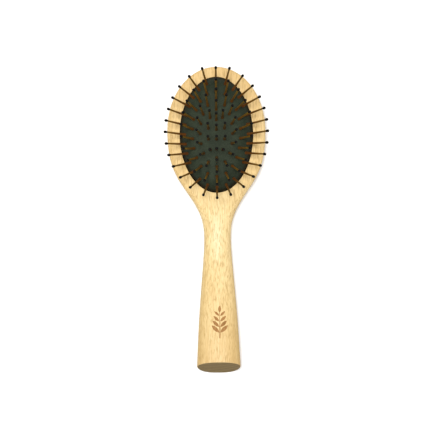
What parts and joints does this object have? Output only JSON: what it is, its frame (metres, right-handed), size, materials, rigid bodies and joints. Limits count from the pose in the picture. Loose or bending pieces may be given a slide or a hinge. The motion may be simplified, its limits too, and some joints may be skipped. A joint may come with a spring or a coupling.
{
  "type": "oval cushion hair brush",
  "caption": "Oval wooden brush with a flared handle, a domed vented rubber cushion and splayed ball-tipped pins that press in against the cushion.",
  "frame": {"origin": "below the middle of the length, on the surface that the flat back of the head rests on", "axes": "+X across the brush to the right, +Y towards the head end, +Z the way the pins point"},
  "size_m": [0.0708, 0.21, 0.0457],
  "materials": {
    "beech": "fine sanded and waxed",
    "rubber": "matt moulded rubber",
    "pin_nylon": "smooth moulded nylon",
    "tip_coating": "smooth dipped coating"
  },
  "bodies": {
    "root": {"wood_body": "beech", "cushion": "rubber"},
    "centre_pins": {"centre_pins_middle": "pin_nylon", "centre_tips_middle": "tip_coating"},
    "inner_pins": {"inner_pins_left": "pin_nylon", "inner_pins_middle": "pin_nylon", "inner_pins_right": "pin_nylon", "inner_tips_left": "tip_coating", "inner_tips_middle": "tip_coating", "inner_tips_right": "tip_coating"},
    "third_pins": {"third_pins_left": "pin_nylon", "third_pins_middle": "pin_nylon", "third_pins_right": "pin_nylon", "third_tips_left": "tip_coating", "third_tips_middle": "tip_coating", "third_tips_right": "tip_coating"},
    "second_pins": {"second_pins_left": "pin_nylon", "second_pins_middle": "pin_nylon", "second_pins_right": "pin_nylon", "second_tips_left": "tip_coating", "second_tips_middle": "tip_coating", "second_tips_right": "tip_coating"},
    "outer_pins": {"outer_pins_left": "pin_nylon", "outer_pins_middle": "pin_nylon", "outer_pins_right": "pin_nylon", "outer_tips_left": "tip_coating", "outer_tips_middle": "tip_coating", "outer_tips_right": "tip_coating"}
  },
  "joints": [
    {"name": "cushion_press", "type": "slide", "parent": "root", "child": "centre_pins", "axis": [0, 0, -1], "range_m": [0, 0.005], "stiffness_N_per_m": 900, "deforming": ["cushion"]},
    {"name": "inner_press", "type": "slide", "parent": "root", "child": "inner_pins", "axis": [0, 0, -1], "range_m": [0, 0.005], "stiffness_N_per_m": 500},
    {"name": "third_press", "type": "slide", "parent": "root", "child": "third_pins", "axis": [0, 0, -1], "range_m": [0, 0.005], "stiffness_N_per_m": 500},
    {"name": "second_press", "type": "slide", "parent": "root", "child": "second_pins", "axis": [0, 0, -1], "range_m": [0, 0.00491], "stiffness_N_per_m": 500},
    {"name": "outer_press", "type": "slide", "parent": "root", "child": "outer_pins", "axis": [0, 0, -1], "range_m": [0, 0.0036], "stiffness_N_per_m": 500}
  ],
  "couplings": [
    {"joint": "inner_press", "follows": "cushion_press", "ratio": 1},
    {"joint": "third_press", "follows": "cushion_press", "ratio": 1},
    {"joint": "second_press", "follows": "cushion_press", "ratio": 0.9823},
    {"joint": "outer_press", "follows": "cushion_press", "ratio": 0.7197}
  ]
}
